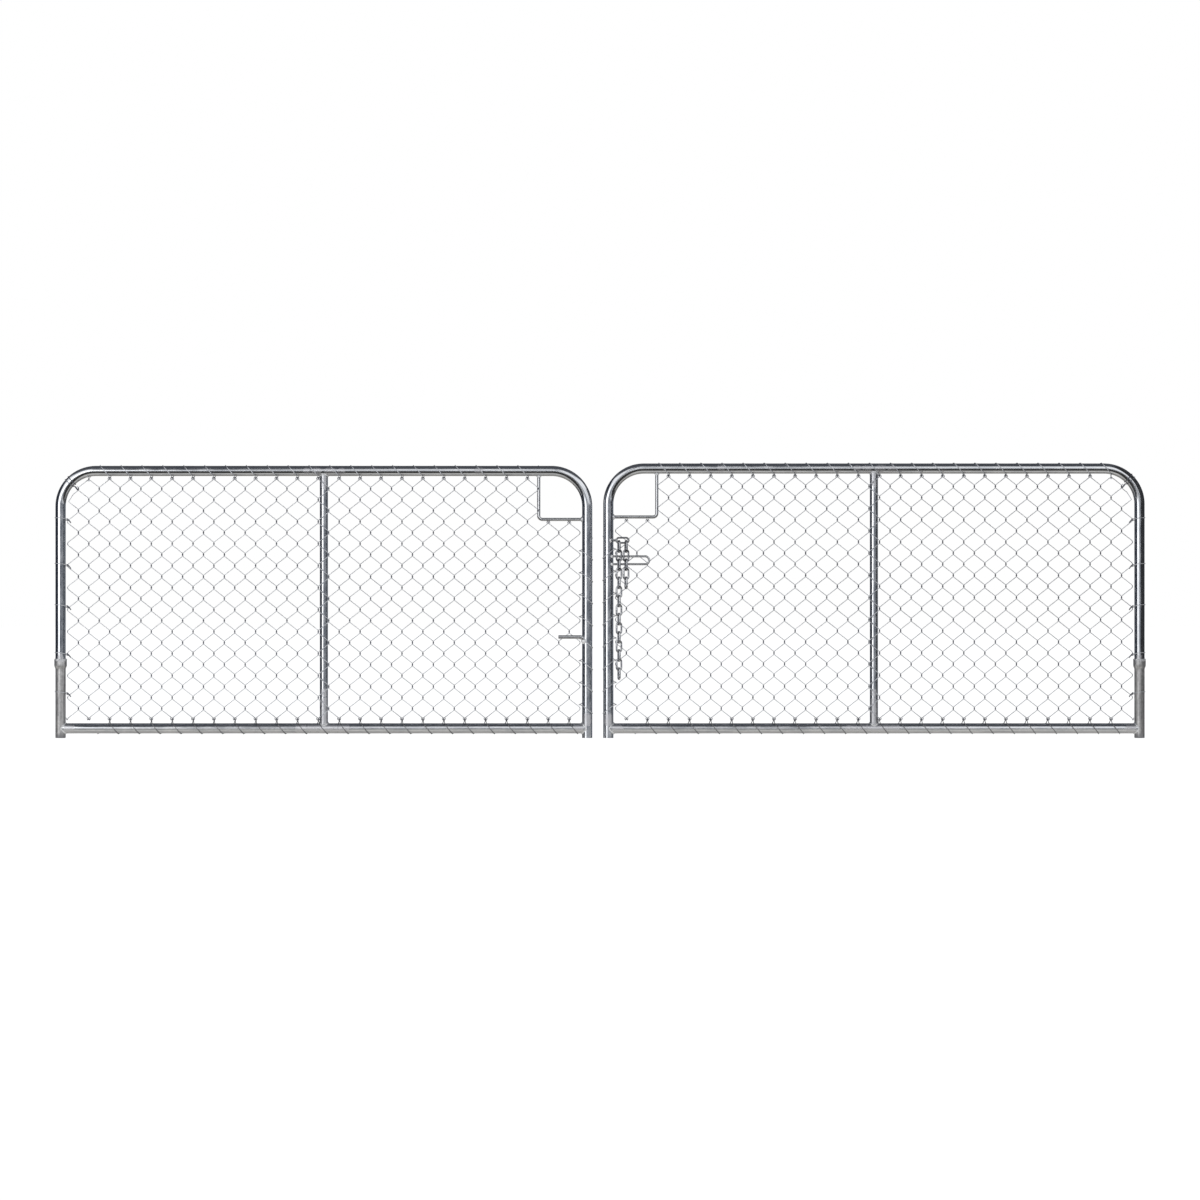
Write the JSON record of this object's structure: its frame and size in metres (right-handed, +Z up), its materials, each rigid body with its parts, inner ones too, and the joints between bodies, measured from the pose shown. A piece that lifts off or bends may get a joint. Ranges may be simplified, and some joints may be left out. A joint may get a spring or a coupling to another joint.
{
  "type": "pair of mesh-filled farm gates",
  "caption": "Pair of bow-top galvanised tube farm gates filled with chain mesh, hung on hinge pins, with a latch chain, chain hook and keeper.",
  "frame": {"origin": "on the left leaf's hinge axis, at the underside of its hinge pin, level with the feet of the stiles", "axes": "+X from the left hinge axis to the right hinge axis, +Z up, -Y is the front, where the chain hangs"},
  "size_m": [3.6037, 0.0665, 0.9104],
  "materials": {
    "galvanised_tube": "hot-dip galvanised tube, semi-bright",
    "foot_tube": "matt mottled zinc",
    "galvanised_rod": "galvanised rod, dull",
    "galvanised_wire": "galvanised wire, satin",
    "chain_steel": "galvanised chain, dull",
    "pin_steel": "plain steel, worn bright"
  },
  "bodies": {
    "hinge_pins": {"left_hinge_pin": "pin_steel", "right_hinge_pin": "pin_steel"},
    "left_leaf": {"left_bow_tube": "galvanised_tube", "left_hinge_stile_foot": "foot_tube", "left_bottom_rail": "galvanised_tube", "left_mid_stay": "galvanised_tube", "left_hand_hole_rod": "galvanised_rod", "left_mesh": "galvanised_wire", "left_top_lacing": "galvanised_wire", "left_bottom_lacing": "galvanised_wire", "left_latch_lacing": "galvanised_wire", "left_hinge_lacing": "galvanised_wire", "left_chain_hook": "galvanised_rod"},
    "right_leaf": {"right_bow_tube": "galvanised_tube", "right_hinge_stile_foot": "foot_tube", "right_bottom_rail": "galvanised_tube", "right_mid_stay": "galvanised_tube", "right_hand_hole_rod": "galvanised_rod", "right_mesh": "galvanised_wire", "right_top_lacing": "galvanised_wire", "right_bottom_lacing": "galvanised_wire", "right_latch_lacing": "galvanised_wire", "right_hinge_lacing": "galvanised_wire", "right_chain_keeper": "galvanised_rod", "chain_anchor_link": "chain_steel", "chain_lug": "galvanised_rod"},
    "chain_link_01": {"chain_link_01": "chain_steel"},
    "chain_link_02": {"chain_link_02": "chain_steel"},
    "chain_link_03": {"chain_link_03": "chain_steel"},
    "chain_link_04": {"chain_link_04": "chain_steel"},
    "chain_link_05": {"chain_link_05": "chain_steel"},
    "chain_link_06": {"chain_link_06": "chain_steel"},
    "chain_link_07": {"chain_link_07": "chain_steel"},
    "chain_link_08": {"chain_link_08": "chain_steel"},
    "chain_link_09": {"chain_link_09": "chain_steel"},
    "chain_link_10": {"chain_link_10": "chain_steel"},
    "chain_link_11": {"chain_link_11": "chain_steel"},
    "chain_link_12": {"chain_link_12": "chain_steel"},
    "chain_link_13": {"chain_link_13": "chain_steel"},
    "chain_link_14": {"chain_link_14": "chain_steel"},
    "chain_link_15": {"chain_link_15": "chain_steel"},
    "tail_link_01": {"tail_link_01": "chain_steel"},
    "tail_link_02": {"tail_link_02": "chain_steel"},
    "tail_link_03": {"tail_link_03": "chain_steel"},
    "tail_link_04": {"tail_link_04": "chain_steel"},
    "tail_link_05": {"tail_link_05": "chain_steel"}
  },
  "joints": [
    {"name": "left_leaf_swing", "type": "hinge", "parent": "hinge_pins", "child": "left_leaf", "pos_m": [0, 0, 0], "axis": [0, 0, 1], "range_deg": [-90, 90]},
    {"name": "right_leaf_swing", "type": "hinge", "parent": "hinge_pins", "child": "right_leaf", "pos_m": [3.5613, 0, 0], "axis": [0, 0, -1], "range_deg": [-90, 90]},
    {"name": "chain_link_01_swing", "type": "hinge", "parent": "right_leaf", "child": "chain_link_01", "pos_m": [1.843, -0.03377, 0.64315], "axis": [-1, 0, 0], "range_deg": [0, 30]},
    {"name": "chain_link_02_swing", "type": "hinge", "parent": "chain_link_01", "child": "chain_link_02", "pos_m": [1.843, -0.03377, 0.61325], "axis": [0, 1, 0], "range_deg": [0, 30]},
    {"name": "chain_link_03_swing", "type": "hinge", "parent": "chain_link_02", "child": "chain_link_03", "pos_m": [1.843, -0.03377, 0.58335], "axis": [-1, 0, 0], "range_deg": [0, 30]},
    {"name": "chain_link_04_swing", "type": "hinge", "parent": "chain_link_03", "child": "chain_link_04", "pos_m": [1.843, -0.03377, 0.55345], "axis": [0, 1, 0], "range_deg": [0, 30]},
    {"name": "chain_link_05_swing", "type": "hinge", "parent": "chain_link_04", "child": "chain_link_05", "pos_m": [1.843, -0.03377, 0.52355], "axis": [-1, 0, 0], "range_deg": [0, 30]},
    {"name": "chain_link_06_swing", "type": "hinge", "parent": "chain_link_05", "child": "chain_link_06", "pos_m": [1.843, -0.03377, 0.49365], "axis": [0, 1, 0], "range_deg": [-30, 30]},
    {"name": "chain_link_07_swing", "type": "hinge", "parent": "chain_link_06", "child": "chain_link_07", "pos_m": [1.843, -0.03377, 0.46375], "axis": [-1, 0, 0], "range_deg": [0, 30]},
    {"name": "chain_link_08_swing", "type": "hinge", "parent": "chain_link_07", "child": "chain_link_08", "pos_m": [1.843, -0.03377, 0.43385], "axis": [0, 1, 0], "range_deg": [-30, 30]},
    {"name": "chain_link_09_swing", "type": "hinge", "parent": "chain_link_08", "child": "chain_link_09", "pos_m": [1.843, -0.03377, 0.40395], "axis": [-1, 0, 0], "range_deg": [0, 30]},
    {"name": "chain_link_10_swing", "type": "hinge", "parent": "chain_link_09", "child": "chain_link_10", "pos_m": [1.843, -0.03377, 0.37405], "axis": [0, 1, 0], "range_deg": [-30, 30]},
    {"name": "chain_link_11_swing", "type": "hinge", "parent": "chain_link_10", "child": "chain_link_11", "pos_m": [1.843, -0.03377, 0.34415], "axis": [-1, 0, 0], "range_deg": [0, 30]},
    {"name": "chain_link_12_swing", "type": "hinge", "parent": "chain_link_11", "child": "chain_link_12", "pos_m": [1.843, -0.03377, 0.31425], "axis": [0, 1, 0], "range_deg": [-30, 30]},
    {"name": "chain_link_13_swing", "type": "hinge", "parent": "chain_link_12", "child": "chain_link_13", "pos_m": [1.843, -0.03377, 0.28435], "axis": [-1, 0, 0], "range_deg": [0, 30]},
    {"name": "chain_link_14_swing", "type": "hinge", "parent": "chain_link_13", "child": "chain_link_14", "pos_m": [1.843, -0.03377, 0.25445], "axis": [0, 1, 0], "range_deg": [-30, 30]},
    {"name": "chain_link_15_swing", "type": "hinge", "parent": "chain_link_14", "child": "chain_link_15", "pos_m": [1.843, -0.03377, 0.22455], "axis": [-1, 0, 0], "range_deg": [0, 30]},
    {"name": "tail_link_01_swing", "type": "hinge", "parent": "right_leaf", "child": "tail_link_01", "pos_m": [1.8664, -0.03377, 0.64315], "axis": [-1, 0, 0], "range_deg": [0, 30]},
    {"name": "tail_link_02_swing", "type": "hinge", "parent": "tail_link_01", "child": "tail_link_02", "pos_m": [1.8664, -0.03377, 0.61325], "axis": [0, 1, 0], "range_deg": [-30, 0]},
    {"name": "tail_link_03_swing", "type": "hinge", "parent": "tail_link_02", "child": "tail_link_03", "pos_m": [1.8664, -0.03377, 0.58335], "axis": [-1, 0, 0], "range_deg": [0, 30]},
    {"name": "tail_link_04_swing", "type": "hinge", "parent": "tail_link_03", "child": "tail_link_04", "pos_m": [1.8664, -0.03377, 0.55345], "axis": [0, 1, 0], "range_deg": [-30, 0]},
    {"name": "tail_link_05_swing", "type": "hinge", "parent": "tail_link_04", "child": "tail_link_05", "pos_m": [1.8664, -0.03377, 0.52355], "axis": [-1, 0, 0], "range_deg": [0, 30]}
  ]
}
